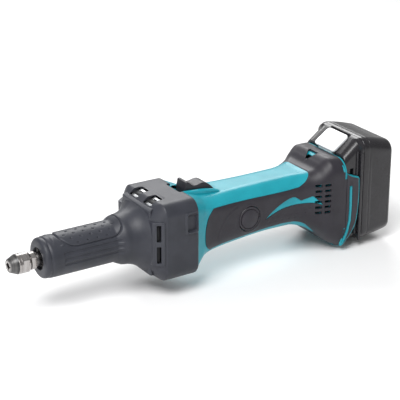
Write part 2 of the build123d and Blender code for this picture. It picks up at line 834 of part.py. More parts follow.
with BuildPart() as battery_case:
    loft(sections=hoops(case_stations))
    loft(
        sections=[
            hoop(pack_seam - 0.5, 37.2, 58.2, pack_bottom, 10.5, pack_wall),
            hoop(384.0, pack_side, 55.4, -46.6, 10.5, pack_wall),
            hoop(overall_length - pack_wall, 36.8, 51.0, -44.6, 10.5, pack_wall),
        ],
        ruled=True,
        mode=Mode.SUBTRACT,
    )
write(battery_case, "battery_case")

cell_pitch = 18.05
cell_row_z = 4.0
cell_mid_x = 381.7
with BuildPart() as battery_cells:
    with Locations(Plane((cell_mid_x, 0, cell_row_z), x_dir=(1, 0, 0), z_dir=(0, -1, 0))):
        with GridLocations(cell_pitch, cell_pitch, 2, 5):
            Cylinder(cell_r, cell_length)
write(battery_cells, "battery_cells")

with BuildPart() as battery_board:
    with Locations((360.6, 0, -6.0)):
        Box(1.6, 54.0, 66.0)
write(battery_board, "battery_board")

with BuildPart() as battery_clips:
    for y in (-blade_y, 0.0, blade_y):
        for offset in (-1.9, 1.9):
            with Locations((357.2, y + offset, -24.0)):
                Box(3.0, 0.6, 16.0)
write(battery_clips, "battery_clips")

with BuildPart() as release_button:
    with BuildSketch(Plane.XZ):
        with BuildLine():
            Polyline(
                (pack_front - 3.6, 33.6), (pack_front + 3.4, 33.6), (pack_front + 3.4, 40.6),
                (pack_seam - 5.2, 52.6), (pack_seam - 5.2, 57.0), (pack_front + 0.4, 44.6),
                (pack_front + 0.4, 37.8), (pack_front - 3.6, 36.6), close=True,
            )
        make_face()
    extrude(amount=button_half_width, both=True)
    for side in (-1, 1):
        with Locations((pack_front - 2.0, side * 12.2, 36.0)):
            Box(4.8, 8.0, 8.0, mode=Mode.SUBTRACT)
write(release_button, "release_button")

with BuildPart() as latch_spring:
    with BuildSketch(Plane.YZ.offset(pack_front + 3.4)):
        with Locations((0, 36.6)):
            Circle(2.4)
            Circle(1.6, mode=Mode.SUBTRACT)
    extrude(amount=5.6)
write(latch_spring, "latch_spring")
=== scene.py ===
import json
from math import cos, exp, hypot, pi, radians, sin, sqrt
import bmesh
import bpy
from mathutils import Matrix, Vector


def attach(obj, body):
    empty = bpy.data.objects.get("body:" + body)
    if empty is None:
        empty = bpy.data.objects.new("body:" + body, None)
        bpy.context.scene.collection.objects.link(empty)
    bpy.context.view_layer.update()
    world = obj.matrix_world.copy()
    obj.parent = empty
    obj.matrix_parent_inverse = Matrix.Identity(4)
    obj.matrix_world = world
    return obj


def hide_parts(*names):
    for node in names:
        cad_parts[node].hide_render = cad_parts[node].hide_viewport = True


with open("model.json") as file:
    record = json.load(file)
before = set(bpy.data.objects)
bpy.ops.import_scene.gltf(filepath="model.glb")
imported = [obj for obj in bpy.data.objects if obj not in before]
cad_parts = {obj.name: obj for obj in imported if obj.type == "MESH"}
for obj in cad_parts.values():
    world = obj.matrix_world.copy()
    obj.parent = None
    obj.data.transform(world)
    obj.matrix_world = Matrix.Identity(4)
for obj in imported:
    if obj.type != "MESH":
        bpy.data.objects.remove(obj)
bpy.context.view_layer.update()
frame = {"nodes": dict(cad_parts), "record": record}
print("frame loaded")

# Everything is worked out in millimetres and turned to metres as it is placed.
mm = 0.001


# Small mesh tools

def clamp(value, low=0.0, high=1.0):
    return max(low, min(high, value))


def ease(value, low, high):  # smooth step from 0 at low to 1 at high
    t = clamp((value - low) / (high - low))
    return t * t * (3 - 2 * t)


def roundBox(px, py, halfX, halfY, corner):  # distance to a rounded rectangle, negative inside
    qx = abs(px) - halfX + corner
    qy = abs(py) - halfY + corner
    return hypot(max(qx, 0), max(qy, 0)) + min(max(qx, qy), 0) - corner


def smoothRow(rows, x):  # every column of a table, eased along its first column
    if x <= rows[0][0]:
        return rows[0][1:]
    for i in range(len(rows) - 1):
        if x <= rows[i + 1][0]:
            break
    a, b = rows[i], rows[i + 1]
    before, after = rows[max(i - 1, 0)], rows[min(i + 2, len(rows) - 1)]
    span = b[0] - a[0]
    t = clamp((x - a[0]) / span)
    result = []
    for k in range(1, len(a)):
        slopeIn = (b[k] - before[k]) / (b[0] - before[0])
        slopeOut = (after[k] - a[k]) / (after[0] - a[0])
        chord = (b[k] - a[k]) / span
        slopeIn = limitSlope(slopeIn, chord)
        slopeOut = limitSlope(slopeOut, chord)
        result.append(
            a[k] * (2 * t**3 - 3 * t**2 + 1) + b[k] * (3 * t**2 - 2 * t**3)
            + slopeIn * span * (t**3 - 2 * t**2 + t) + slopeOut * span * (t**3 - t**2)
        )
    return result


def limitSlope(slope, chord):  # keeps the eased line from overshooting
    if slope * chord <= 0:
        return 0.0
    return max(-3 * abs(chord), min(3 * abs(chord), slope))


# point on a rounded section, at an angle from the top towards -Y
def hoopPoint(angle, halfWidth, top, bottom, corner):
    mid = (top + bottom) / 2
    halfHeight = (top - bottom) / 2
    dy, dz = -sin(angle), cos(angle)
    reach = min(halfWidth / max(abs(dy), 1e-9), halfHeight / max(abs(dz), 1e-9))
    corner = min(corner, halfWidth - 0.01, halfHeight - 0.01)
    cy, cz = halfWidth - corner, halfHeight - corner
    if abs(dy) * reach > cy and abs(dz) * reach > cz:
        dot = abs(dy) * cy + abs(dz) * cz
        reach = dot + sqrt(max(dot * dot - cy * cy - cz * cz + corner * corner, 0))
    return dy * reach, mid + dz * reach


def spaced(stops):  # x values from (start, end, step) stretches
    values = []
    for start, end, step in stops:
        count = max(1, round((end - start) / (step * 1)))
        values += [start + (end - start) * i / count for i in range(count)]
    return values + [stops[-1][1]]


def skin(rows, stops, segments, inset=0.0, relief=None):  # closed skin through the sections
    xs = spaced(stops)
    bm = bmesh.new()
    bmesh.ops.create_grid(bm, x_segments=len(xs) - 1, y_segments=segments, size=1)
    for vert in bm.verts:
        x = xs[round((vert.co.x + 1) / 2 * (len(xs) - 1))]
        angle = (vert.co.y + 1) * pi
        halfWidth, top, bottom, corner = smoothRow(rows, x)
        corner = max(corner - inset, 0.5)
        y, z = hoopPoint(angle, halfWidth - inset, top - inset, bottom + inset, corner)
        if relief:
            out = relief(x, angle, y, z)
            mid = (top + bottom) / 2
            away = hypot(y, z - mid)
            y += out * y / away
            z += out * (z - mid) / away
        vert.co = Vector((x, y, z)) * mm
    bmesh.ops.remove_doubles(bm, verts=bm.verts, dist=1e-7)
    rims = [edge for edge in bm.edges if edge.is_boundary]
    bmesh.ops.holes_fill(bm, edges=rims, sides=0)
    bmesh.ops.recalc_face_normals(bm, faces=bm.faces)
    return bm


def halved(bm):  # left half of a closed skin, closed again along the middle
    cut = bmesh.ops.bisect_plane(
        bm, geom=bm.verts[:] + bm.edges[:] + bm.faces[:], plane_co=(0, 0, 0),
        plane_no=(0, 1, 0), clear_outer=True, dist=1e-7,
    )
    edges = [item for item in cut["geom_cut"] if isinstance(item, bmesh.types.BMEdge)]
    bmesh.ops.holes_fill(bm, edges=edges, sides=0)
    bmesh.ops.recalc_face_normals(bm, faces=bm.faces)
    return bm


def turned(profile, segments):  # closed profile of (x, radius) spun about the tool's axis
    bm = bmesh.new()
    verts = [bm.verts.new((x * mm, 0, radius * mm)) for x, radius in profile]
    edges = [bm.edges.new(pair) for pair in zip(verts, verts[1:] + verts[:1])]
    bmesh.ops.spin(
        bm, geom=verts + edges, cent=(0, 0, 0), axis=(1, 0, 0), angle=2 * pi,
        steps=segments, use_merge=True,
    )
    bmesh.ops.remove_doubles(bm, verts=bm.verts, dist=1e-7)
    bmesh.ops.recalc_face_normals(bm, faces=bm.faces)
    return bm


def prism(outline, low, high, axis="Y"):  # outline carried along one axis
    bm = bmesh.new()
    place = {
        "Y": lambda a, b: (a * mm, low * mm, b * mm),
        "Z": lambda a, b: (a * mm, b * mm, low * mm),
    }[axis]
    face = bm.faces.new([bm.verts.new(place(a, b)) for a, b in outline])
    grown = bmesh.ops.extrude_face_region(bm, geom=[face])["geom"]
    direction = {"Y": Vector((0, 1, 0)), "Z": Vector((0, 0, 1))}[axis]
    moved = [item for item in grown if isinstance(item, bmesh.types.BMVert)]
    bmesh.ops.translate(bm, verts=moved, vec=direction * (high - low) * mm)
    bmesh.ops.recalc_face_normals(bm, faces=bm.faces)
    return bm


def roundEdges(bm, edges, amount, segments=3, clamp=False):
    bmesh.ops.bevel(
        bm, geom=edges, offset=amount * mm, segments=segments, affect="EDGES", profile=0.5,
        material=-1, clamp_overlap=clamp,
    )


def block(centre, size, bevel=0.0, segments=3, turn=None):
    bm = bmesh.new()
    bmesh.ops.create_cube(bm, size=1)
    bmesh.ops.scale(bm, vec=[value * mm for value in size], verts=bm.verts)
    if bevel:
        roundEdges(bm, bm.edges[:], bevel, segments)
    if turn:
        bmesh.ops.rotate(bm, verts=bm.verts, matrix=turn)
    bmesh.ops.translate(bm, verts=bm.verts, vec=Vector(centre) * mm)
    return bm


def rod(centre, radius, length, axis="Y", segments=64, bevel=0.0):
    bm = bmesh.new()
    bmesh.ops.create_cone(
        bm, cap_ends=True, segments=segments, radius1=radius * mm, radius2=radius * mm,
        depth=length * mm,
    )
    if bevel:
        rims = [edge for edge in bm.edges if abs(edge.verts[0].co.z - edge.verts[1].co.z) < 1e-9]
        roundEdges(bm, rims, bevel)
    turn = {"X": Matrix.Rotation(pi / 2, 3, "Y"), "Y": Matrix.Rotation(-pi / 2, 3, "X")}
    bmesh.ops.rotate(bm, verts=bm.verts, matrix=turn[axis])
    bmesh.ops.translate(bm, verts=bm.verts, vec=Vector(centre) * mm)
    return bm


def joined(*parts):  # several meshes in one
    bm = bmesh.new()
    for part in parts:
        scratch = bpy.data.meshes.new("scratch")
        part.to_mesh(scratch)
        part.free()
        bm.from_mesh(scratch)
        bpy.data.meshes.remove(scratch)
    return bm


def mirrored(bm):
    bmesh.ops.scale(bm, vec=(1, -1, 1), verts=bm.verts)
    bmesh.ops.reverse_faces(bm, faces=bm.faces)
    return bm


def carved(bm, cuts, operation="DIFFERENCE"):  # booleans one after another
    base = asObject(bm)
    tools = []
    for cut in cuts:
        tool = asObject(cut)
        tools.append(tool)
        modifier = base.modifiers.new("cut", "BOOLEAN")
        modifier.operation = operation
        modifier.solver = "EXACT"
        modifier.object = tool
    graph = bpy.context.evaluated_depsgraph_get()
    result = bmesh.new()
    result.from_object(base, graph)
    for item in [base] + tools:
        mesh = item.data
        bpy.data.objects.remove(item)
        bpy.data.meshes.remove(mesh)
    return result


def asObject(bm):
    mesh = bpy.data.meshes.new("tool")
    bm.to_mesh(mesh)
    bm.free()
    item = bpy.data.objects.new("tool", mesh)
    bpy.context.scene.collection.objects.link(item)
    return item


def piece(name, bm, material, body, replaced, angle):  # angle: edges sharper than this stay sharp
    mesh = bpy.data.meshes.new(name)
    bm.to_mesh(mesh)
    bm.free()
    mesh.shade_smooth()
    mesh.set_sharp_from_angle(angle=radians(angle))
    item = bpy.data.objects.new(name, mesh)
    bpy.context.scene.collection.objects.link(item)
    mesh.materials.append(material)
    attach(item, body)
    if replaced:
        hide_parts(*replaced)
    print("made", name, len(mesh.polygons), "faces")
    return item


# Shader tools

class Signal:  # a socket that takes part in plain expressions
    def __init__(self, tree, socket):
        self.tree = tree
        self.socket = socket

    def maths(self, operation, first, second=0.0):
        return addNode(self.tree, "ShaderNodeMath", {"operation": operation}, {0: first, 1: second})

    def __add__(self, other):
        return self.maths("ADD", self, other)

    def __radd__(self, other):
        return self.maths("ADD", other, self)

    def __sub__(self, other):
        return self.maths("SUBTRACT", self, other)

    def __rsub__(self, other):
        return self.maths("SUBTRACT", other, self)

    def __mul__(self, other):
        return self.maths("MULTIPLY", self, other)

    def __rmul__(self, other):
        return self.maths("MULTIPLY", other, self)

    def ranged(self, low, high):  # smooth step from 0 at low to 1 at high
        return addNode(
            self.tree, "ShaderNodeMapRange", {"interpolation_type": "SMOOTHSTEP"},
            {0: self, 1: low, 2: high},
        )


def addNode(tree, kind, settings, inputs, output=0):
    node = tree.nodes.new(kind)
    for key, value in settings.items():
        setattr(node, key, value)
    for key, value in inputs.items():
        if isinstance(value, Signal):
            tree.links.new(value.socket, node.inputs[key])
        else:
            node.inputs[key].default_value = value
    return Signal(tree, node.outputs[output])


def mixColour(tree, factor, first, second):
    return addNode(
        tree, "ShaderNodeMix", {"data_type": "RGBA"},
        {0: factor, 6: first, 7: second}, 2,
    )


def rgb(red, green, blue):
    return (red, green, blue, 1.0)


def finish(name, recipe):  # a material from its recipe
    material = bpy.data.materials.new(name)
    material.use_nodes = True
    tree = material.node_tree
    shader = tree.nodes["Principled BSDF"]
    place = addNode(tree, "ShaderNodeTexCoord", {}, {}, 3)
    stretch = recipe.get("stretch", (1, 1, 1))
    where = addNode(tree, "ShaderNodeMapping", {}, {"Vector": place, "Scale": stretch})
    broad = addNode(
        tree, "ShaderNodeTexNoise", {},
        {"Vector": where, "Scale": recipe.get("broad", 60.0), "Detail": 4.0},
    )
    fine = addNode(
        tree, "ShaderNodeTexNoise", {},
        {"Vector": where, "Scale": recipe.get("fine", 1400.0), "Detail": 3.0},
    )
    colour = mixColour(tree, broad.ranged(0.35, 0.68), recipe["colour"], recipe["second"])
    edge = addNode(tree, "ShaderNodeNewGeometry", {}, {}, "Pointiness")
    worn = edge.ranged(0.505, 0.56) * broad.ranged(0.3, 0.7) * recipe.get("wear", 0.0)
    colour = mixColour(tree, worn, colour, recipe.get("worn", recipe["second"]))
    spread = recipe.get("roughSpread", 0.1)
    rough = recipe["rough"] + (broad - 0.5) * spread + (fine - 0.5) * 0.06
    height = fine
    if recipe.get("pebble"):
        cells = addNode(
            tree, "ShaderNodeTexVoronoi", {"feature": "SMOOTH_F1"},
            {"Vector": where, "Scale": recipe["pebble"], "Smoothness": 0.6},
        )
        height = fine * 0.5 + cells
    bump = addNode(
        tree, "ShaderNodeBump", {},
        {"Strength": recipe.get("bump", 0.3), "Distance": recipe.get("depth", 0.00006),
         "Height": height},
    )
    tree.links.new(colour.socket, shader.inputs["Base Color"])
    tree.links.new(rough.socket, shader.inputs["Roughness"])
    tree.links.new(bump.socket, shader.inputs["Normal"])
    shader.inputs["Metallic"].default_value = recipe.get("metal", 0.0)
    shader.inputs["Coat Weight"].default_value = recipe.get("coat", 0.0)
    shader.inputs["Coat Roughness"].default_value = recipe.get("coatRough", 0.1)
    shader.inputs["Specular IOR Level"].default_value = recipe.get("specular", 0.5)
    return material


finishes = {
    "bootRubber": dict(colour=rgb(0.034, 0.036, 0.046), second=rgb(0.027, 0.029, 0.037),
                       rough=0.44, specular=0.32, pebble=1500.0, bump=0.22, depth=0.00005, wear=0.25,
                       worn=rgb(0.09, 0.095, 0.11)),
    "tealPlastic": dict(colour=rgb(0.012, 0.30, 0.37), second=rgb(0.010, 0.27, 0.335),
                        rough=0.36, specular=0.3, fine=2200.0, bump=0.1, depth=0.00003, coat=0.1,
                        coatRough=0.2, wear=0.12, worn=rgb(0.03, 0.37, 0.44)),
    "gripRubber": dict(colour=rgb(0.026, 0.024, 0.031), second=rgb(0.021, 0.019, 0.025),
                       rough=0.42, specular=0.34, pebble=1700.0, bump=0.26, depth=0.00005, wear=0.25,
                       worn=rgb(0.075, 0.07, 0.085)),
    "blackGloss": dict(colour=rgb(0.015, 0.014, 0.017), second=rgb(0.011, 0.010, 0.012),
                       rough=0.27, specular=0.36, fine=2600.0, bump=0.1, depth=0.00003, coat=0.3,
                       coatRough=0.2, wear=0.2, worn=rgb(0.06, 0.058, 0.065)),
    # aluminium of the bearing box darkened to near black: painted shade inside the boot, not the casting's own
    # colour
    "castingPaintedShade": dict(colour=rgb(0.030, 0.031, 0.034), second=rgb(0.020, 0.021, 0.023),
                        rough=0.6, metal=0.4, fine=900.0, bump=0.4, depth=0.0001),
    "darkPlastic": dict(colour=rgb(0.020, 0.019, 0.024), second=rgb(0.014, 0.014, 0.018),
                        rough=0.42, specular=0.34, fine=2000.0, bump=0.25, wear=0.3, worn=rgb(0.08, 0.08, 0.09)),
    "whitePlate": dict(colour=rgb(0.86, 0.87, 0.88), second=rgb(0.80, 0.81, 0.83), rough=0.3,
                       coat=0.3, bump=0.06),
    "brightSteel": dict(colour=rgb(0.46, 0.44, 0.43), second=rgb(0.34, 0.32, 0.31), rough=0.24, metal=1.0,
                        stretch=(6.0, 0.4, 0.4), fine=700.0, bump=0.18, roughSpread=0.16),
    "blackSteel": dict(colour=rgb(0.026, 0.027, 0.030), second=rgb(0.018, 0.018, 0.020),
                       rough=0.34, metal=0.5, stretch=(6.0, 0.4, 0.4), fine=700.0, bump=0.15, wear=0.7,
                       worn=rgb(0.34, 0.33, 0.32)),
    "castAluminium": dict(colour=rgb(0.44, 0.45, 0.46), second=rgb(0.33, 0.34, 0.35), rough=0.4, metal=1.0,
                          fine=900.0, bump=0.4, depth=0.0001, roughSpread=0.2),
    "zincSteel": dict(colour=rgb(0.52, 0.52, 0.50), second=rgb(0.42, 0.42, 0.42), rough=0.38, metal=1.0),
    "copper": dict(colour=rgb(0.72, 0.33, 0.17), second=rgb(0.55, 0.24, 0.12), rough=0.34, metal=1.0,
                   stretch=(0.5, 4.0, 4.0), fine=900.0, bump=0.5),
    "brass": dict(colour=rgb(0.76, 0.60, 0.28), second=rgb(0.62, 0.47, 0.2), rough=0.3, metal=1.0),
    "laminations": dict(colour=rgb(0.36, 0.36, 0.38), second=rgb(0.25, 0.25, 0.27), rough=0.45, metal=1.0,
                        stretch=(20.0, 0.3, 0.3), fine=120.0, bump=0.5),
    "ferrite": dict(colour=rgb(0.07, 0.07, 0.075), second=rgb(0.05, 0.05, 0.055), rough=0.6),
    "carbon": dict(colour=rgb(0.04, 0.04, 0.042), second=rgb(0.028, 0.028, 0.03), rough=0.5),
    "solderMask": dict(colour=rgb(0.02, 0.16, 0.06), second=rgb(0.015, 0.12, 0.045), rough=0.3, coat=0.3),
    "cellWrap": dict(colour=rgb(0.05, 0.28, 0.14), second=rgb(0.04, 0.23, 0.12), rough=0.32, coat=0.2),
}
made = {name: finish(name, recipe) for name, recipe in finishes.items()}
print("materials ready")

slotFinish = {
    "boot_rubber": "bootRubber", "teal_plastic": "tealPlastic", "grip_rubber": "gripRubber",
    "black_plastic": "blackGloss", "dark_plastic": "darkPlastic", "label_white": "whitePlate",
    "bright_steel": "brightSteel", "black_steel": "blackSteel", "cast_aluminium": "castAluminium",
    "yoke_steel": "zincSteel", "magnet": "ferrite", "copper": "copper", "laminated_iron": "laminations",
    "carbon": "carbon", "brass_plate": "brass", "board_green": "solderMask", "cell_wrap": "cellWrap",
}
for entry in frame["record"]["subparts"]:
    node = frame["nodes"][entry["node"]]
    # the bearing box gets the darkened finish in place of its aluminium, as painted shade inside the boot
    chosen = "castingPaintedShade" if entry["node"] == "bearing_box" else slotFinish[entry["material_slot"]]
    for materialSlot in node.material_slots:
        materialSlot.material = made[chosen]

# Camera, light and floor

studio = {
    "azimuth": -32.187, "elevation": 22.273, "target": (199.34, 0.0, 19.37), "distance": 1321.99,
    "lens": 126.0, "sensor": 36.0, "floor": -54.6, "floorHalf": 6.0, "worldStrength": 0.4,
    "aim": (200, 0, 0),
    # name, place, size, power
    "lamps": (
        ("keyLight", (-450, -500, 1200), (800, 800), 22.0),
        ("fillLight", (-1300, -300, 350), (500, 900), 4.0),
        ("rimLight", (600, 900, 700), (900, 500), 9.0),
    ),
    "paint": dict(colour=rgb(0.9, 0.9, 0.9), second=rgb(0.88, 0.88, 0.885), rough=0.7, broad=3.0, bump=0.0),
}


def buildStudio(s):
    scene = bpy.context.scene
    azimuth, elevation = radians(s["azimuth"]), radians(s["elevation"])
    back = Vector((sin(azimuth) * cos(elevation), -cos(azimuth) * cos(elevation), sin(elevation)))
    cameraData = bpy.data.cameras.new("camera")
    cameraData.lens = s["lens"]
    cameraData.sensor_width = s["sensor"]
    camera = bpy.data.objects.new("camera", cameraData)
    camera.location = (Vector(s["target"]) + back * s["distance"]) * mm
    camera.rotation_euler = back.to_track_quat("Z", "Y").to_euler()
    scene.collection.objects.link(camera)
    scene.camera = camera
    world = bpy.data.worlds.new("world")
    world.use_nodes = True
    sky = world.node_tree.nodes["Background"]
    sky.inputs["Color"].default_value = rgb(1.0, 1.0, 1.0)
    sky.inputs["Strength"].default_value = s["worldStrength"]
    scene.world = world
    scene.view_settings.view_transform = "Standard"
    for name, place, size, power in s["lamps"]:
        data = bpy.data.lights.new(name, "AREA")
        data.shape = "RECTANGLE"
        data.size, data.size_y = size[0] * mm, size[1] * mm
        data.energy = power
        lamp = bpy.data.objects.new(name, data)
        lamp.location = Vector(place) * mm
        aim = Vector(place) - Vector(s["aim"])
        lamp.rotation_euler = aim.to_track_quat("Z", "Y").to_euler()
        scene.collection.objects.link(lamp)
    floorMesh = bpy.data.meshes.new("floor")
    bm = bmesh.new()
    bmesh.ops.create_grid(bm, x_segments=2, y_segments=2, size=s["floorHalf"])
    bmesh.ops.translate(bm, verts=bm.verts, vec=(0, 0, s["floor"] * mm))
    bm.to_mesh(floorMesh)
    bm.free()
    floor = bpy.data.objects.new("floor", floorMesh)
    floorMesh.materials.append(finish("floorPaint", s["paint"]))
    scene.collection.objects.link(floor)


buildStudio(studio)
print("studio ready")

# Rubber boot

boot = {
    # x, half width, top, bottom, corner radius
    "rows": [
        (29.0, 15.2, 15.2, -15.2, 15.1), (29.5, 16.9, 16.9, -16.9, 16.8), (30.6, 18.2, 18.2, -18.2, 18.1),
        (32.4, 18.8, 18.8, -18.8, 18.7), (34.2, 18.9, 18.9, -18.9, 18.8), (36.5, 19.3, 19.3, -19.3, 19.2),
        (42.0, 19.4, 19.4, -19.4, 19.3), (100.0, 19.4, 19.4, -19.4, 19.3), (105.0, 21.6, 21.6, -21.6, 21.5),
        (109.0, 23.4, 23.4, -23.4, 23.3), (115.0, 24.3, 24.3, -24.3, 24.0), (121.0, 26.2, 26.0, -26.0, 24.6),
        (126.0, 28.6, 28.4, -28.4, 24.0), (130.0, 31.5, 31.0, -31.0, 20.5), (134.0, 34.5, 33.9, -33.9, 16.0),
        (138.0, 37.5, 36.8, -36.8, 13.0), (139.6, 38.6, 37.7, -37.7, 12.4), (140.4, 39.0, 38.0, -38.0, 12.0),
        (145.0, 39.0, 38.0, -38.0, 12.0),
        (170.0, 39.0, 38.0, -38.0, 12.5), (172.8, 38.8, 37.8, -37.8, 12.3), (174.0, 37.8, 36.8, -36.8, 11.5),
    ],
    "wall": 2.4,
    "pad": {"middle": 77.0, "halfLength": 31.0, "halfArc": 18.6, "front": 17.0, "rear": 11.0, "rise": 0.7},
    "dimple": {"pitch": 9.8, "row": 5.3, "radius": 1.35, "depth": 1.0},
    "margin": (2.6, 2.4),  # plain edge of the pad, without dimples
    "groove": 0.9,  # round the pad
    "channels": ((6.6, 1.5), (1.6, 1.4), (-3.0, 1.3)),  # height on the flank, half width
    "channelDepth": 0.85,
    "neck": 19.4,  # radius of the neck
    "frontRib": {"x": 40.2, "rise": 0.35},
    "nub": {"x": 47.0, "angle": 0.78, "rise": 0.55},
    "lipGroove": {"x": 34.6, "depth": 0.5},
    "flankFrame": {"x": 166.4, "z": 17.4, "half": (7.2, 10.6), "corner": 2.4, "rise": 1.3},
    "flankRecess": {"x": 166.8, "z": 17.4, "half": (5.2, 8.6), "corner": 1.4, "depth": 3.6},
    "seam": {"z": -1.2, "rise": 0.16},
    "slots": (-8.6, 12.5),
    "slotHeight": 16.6,
    "windowY": 12.4,
    "windowSize": 13.6,
    "topFrame": [
        (129.2, -24.2), (130.4, -25.6), (149.6, -18.0), (151.2, -15.6),
        (151.2, 15.6), (149.6, 18.0), (130.4, 25.6), (129.2, 24.2),
    ],
    "sideFrame": [
        (128.6, 24.0), (128.6, 31.6), (130.2, 33.2), (137.4, 38.6), (138.2, 38.4), (138.2, 24.0),
    ],
    "frameRound": 0.7,
    "stops": ((29, 34, 0.4), (34, 112, 0.55), (112, 150, 0.55), (150, 174, 0.6)),
}


def bootRelief(x, angle, y, z):
    b = boot
    side = min(angle, 2 * pi - angle)  # measured down from the top on either flank
    out = 0.0
    if x < 118:
        pad, dimple = b["pad"], b["dimple"]
        arc = side * b["neck"]
        corner = pad["front"] if x < pad["middle"] else pad["rear"]
        d = roundBox(x - pad["middle"], arc, pad["halfLength"], pad["halfArc"], corner)
        out += pad["rise"] * (1 - ease(d, -1.1, 0.0))
        out -= b["groove"] * exp(-((d - 0.35) / 0.55) ** 2)
        if d < -1.8:
            row = round(arc / dimple["row"])
            shift = dimple["pitch"] / 2 if row % 2 else 0.0
            along = (x - pad["middle"] + shift) / dimple["pitch"]
            near = hypot((along - round(along)) * dimple["pitch"], arc - row * dimple["row"])
            halfLength, halfArc = pad["halfLength"] - b["margin"][0], pad["halfArc"] - b["margin"][1]
            if roundBox(x - pad["middle"], arc, halfLength, halfArc, corner) < 0:
                out -= dimple["depth"] * (1 - ease(near, 0.35, dimple["radius"]))
        ends = ease(x, 46.0, 47.4) * (1 - ease(x, 104.0, 107.0))
        for height, half in b["channels"]:
            across = abs(b["neck"] * (pi / 2 - side) - height)
            out -= b["channelDepth"] * ends * (1 - ease(across, half - 0.5, half + 0.4))
        rib, nub, lip = b["frontRib"], b["nub"], b["lipGroove"]
        out += rib["rise"] * exp(-((x - rib["x"]) / 0.7) ** 2) * (1 - ease(side, 0.5, 0.75))
        away = hypot((x - nub["x"]) / 1.5, (side - nub["angle"]) * b["neck"] / 1.0)
        out += nub["rise"] * (1 - ease(away, 0.5, 1.1))
        out -= lip["depth"] * exp(-((x - lip["x"]) / 0.8) ** 2)
    if x > 155 and abs(y) > 30:
        rim, well = b["flankFrame"], b["flankRecess"]
        d = roundBox(x - rim["x"], z - rim["z"], *rim["half"], rim["corner"])
        out += rim["rise"] * (1 - ease(d, -0.7, 0.1))
        inner = roundBox(x - well["x"], z - well["z"], *well["half"], well["corner"])
        out -= well["depth"] * (1 - ease(inner, -0.7, 0.2))
    # parting line along both flanks, which the channels interrupt
    seam = b["seam"]
    shown = 0.0 if 46 < x < 107 else 1.0
    out += seam["rise"] * exp(-((z - seam["z"]) / 0.45) ** 2) * ease(x, 36, 40) * shown
    return out


def bootCavity(b):
    rows = [(33.0, 19.4, 19.4, -19.4, 19.3)] + [row for row in b["rows"] if 99 < row[0] < 171]
    rows.append((178.0, 39.0, 38.0, -38.0, 12.5))
    return skin(rows, ((33, 100, 20), (100, 145, 3), (145, 178, 15)), 72, inset=b["wall"])


def ventCuts(b):
    cuts = []
    for up in (-1, 1):
        for side in (-1, 1):
            size = (b["windowSize"], b["windowSize"], 24)
            cuts.append(block((140.6, side * b["windowY"], up * 36), size, 1.5))
    for side in (-1, 1):
        for z in b["slots"]:
            cuts.append(block((133.4, side * 34, z), (3.6, 20, b["slotHeight"]), 0.9))
    return cuts


def capped(bm):  # closes what a cut has left open
    bmesh.ops.holes_fill(bm, edges=[edge for edge in bm.edges if edge.is_boundary], sides=0)


def makeFrames(b):  # flat raised frames that the exhaust openings share
    frames = []
    for up in (-1, 1):
        plate = prism(b["topFrame"], 20, 42, "Z")
        bmesh.ops.bisect_plane(
            plate, geom=plate.verts[:] + plate.edges[:] + plate.faces[:],
            plane_co=Vector((140.2, 0, 35.4)) * mm, plane_no=(-0.32, 0, 1), clear_outer=True)
        capped(plate)
        roundEdges(plate, plate.edges[:], b["frameRound"], clamp=True)
        if up < 0:
            bmesh.ops.scale(plate, vec=(1, 1, -1), verts=plate.verts)
        frames.append(plate)
    for side in (-1, 1):
        plate = prism(b["sideFrame"], -19.4, 23.4, "Z")
        roundEdges(plate, plate.edges[:], b["frameRound"], clamp=True)
        if side < 0:
            bmesh.ops.scale(plate, vec=(1, -1, 1), verts=plate.verts)
        frames.append(plate)
    for plate in frames:
        bmesh.ops.recalc_face_normals(plate, faces=plate.faces)
    return [carved(plate, [bootCavity(b)] + ventCuts(b)) for plate in frames]


def makeBoot(b):
    outer = skin(b["rows"], b["stops"], 300, relief=bootRelief)
    cuts = [bootCavity(b), rod((30, 0, 0), 10.6, 12, "X")] + ventCuts(b)
    # room for the switch channel in the rear rim
    cuts.append(block((175.0, 0, 44), (12.0, 25.0, 20), 2.0))
    whole = joined(carved(outer, cuts), *makeFrames(b))
    piece("boot_skin", whole, made["bootRubber"], "housing", ("rubber_boot",), 34)


makeBoot(boot)

# Aluminium seen through the windows

vents = {
    "rim": ((141.2, 33.3), (12.4, 12.4, 3.0), 0.7),  # x and height, size, rounding
    "hole": ((142.0, 33.0), (5.6, 5.4, 12.0), 0.4),
    "tilt": 0.31,
}


def makeVents(v, y):
    parts = []
    for up in (-1, 1):
        for side in (-1, 1):
            tilt = Matrix.Rotation(-v["tilt"] * up, 3, "Y")
            rim, hole = [
                block((x, side * y, up * z), size, bevel, turn=tilt)
                for (x, z), size, bevel in (v["rim"], v["hole"])
            ]
            parts.append(carved(rim, [hole]))
    piece("window_rims", joined(*parts), made["castAluminium"], "housing", (), 32)


makeVents(vents, boot["windowY"])

# Housing halves and moulded grips

